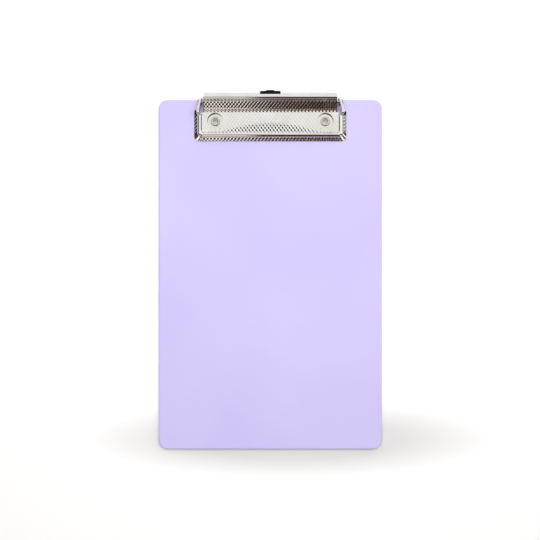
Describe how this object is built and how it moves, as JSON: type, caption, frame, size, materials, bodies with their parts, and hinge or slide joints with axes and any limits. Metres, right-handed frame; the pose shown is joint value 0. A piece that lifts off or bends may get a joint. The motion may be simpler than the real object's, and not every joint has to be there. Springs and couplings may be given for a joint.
{
  "type": "clipboard",
  "caption": "Small plastic clipboard with a low-profile sprung metal clip, textured like fine mesh, and a pull-out hanger.",
  "frame": {"origin": "middle of the board's flat back, which it lies on", "axes": "+X across the board to the right, +Y along it towards the clip, +Z out of the writing face"},
  "size_m": [0.15, 0.2408, 0.0155],
  "materials": {
    "board_plastic": "satin",
    "plated_steel": "bright nickel plate",
    "pin_steel": "bright",
    "spring_steel": "drawn wire",
    "rivet_metal": "bright nickel plate",
    "hanger_plastic": "satin"
  },
  "bodies": {
    "base": {"board": "board_plastic", "clip_base_plate": "plated_steel", "hinge_pin": "pin_steel", "torsion_spring": "spring_steel", "rivet_left": "rivet_metal", "rivet_right": "rivet_metal"},
    "lever": {"clip_lever": "plated_steel"},
    "hanger": {"hanger": "hanger_plastic"}
  },
  "joints": [
    {"name": "lever_hinge", "type": "hinge", "parent": "base", "child": "lever", "pos_m": [0, 0.1151, 0.0059], "axis": [-1, 0, 0], "range_deg": [0, 25], "stiffness_Nm_per_rad": 0.25, "springref_deg": -68.75, "deforming": ["torsion_spring"]},
    {"name": "hanger_slide", "type": "slide", "parent": "base", "child": "hanger", "axis": [0, 1, 0], "range_m": [0, 0.012]}
  ]
}
